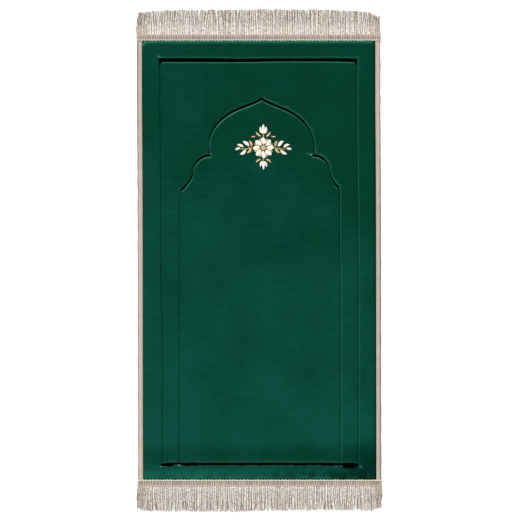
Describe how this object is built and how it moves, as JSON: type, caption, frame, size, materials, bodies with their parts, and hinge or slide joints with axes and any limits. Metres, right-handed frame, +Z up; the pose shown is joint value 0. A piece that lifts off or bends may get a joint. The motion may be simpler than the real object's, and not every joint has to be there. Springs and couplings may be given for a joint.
{
  "type": "prayer rug",
  "caption": "Padded prayer rug that lies flat, velvet face with sewn border and arched niche channels, taped long edges and fringed ends",
  "frame": {"origin": "on the floor under the middle of the outline", "axes": "+Y along the rug towards the arch end, +X to its right seen from above, +Z up out of the velvet face"},
  "size_m": [0.6265, 1.2799, 0.0144],
  "materials": {
    "velvet": "short-pile velvet, deep green",
    "binding_tape": "flat woven tape, beige",
    "fringe_yarn": "fine lustrous yarn and braid, champagne",
    "embroidery_thread": "satin-stitched thread, cream and gold"
  },
  "bodies": {
    "root": {"pad": "velvet", "binding_left": "binding_tape", "binding_right": "binding_tape", "fringe_top": "fringe_yarn", "fringe_bottom": "fringe_yarn"}
  },
  "joints": []
}
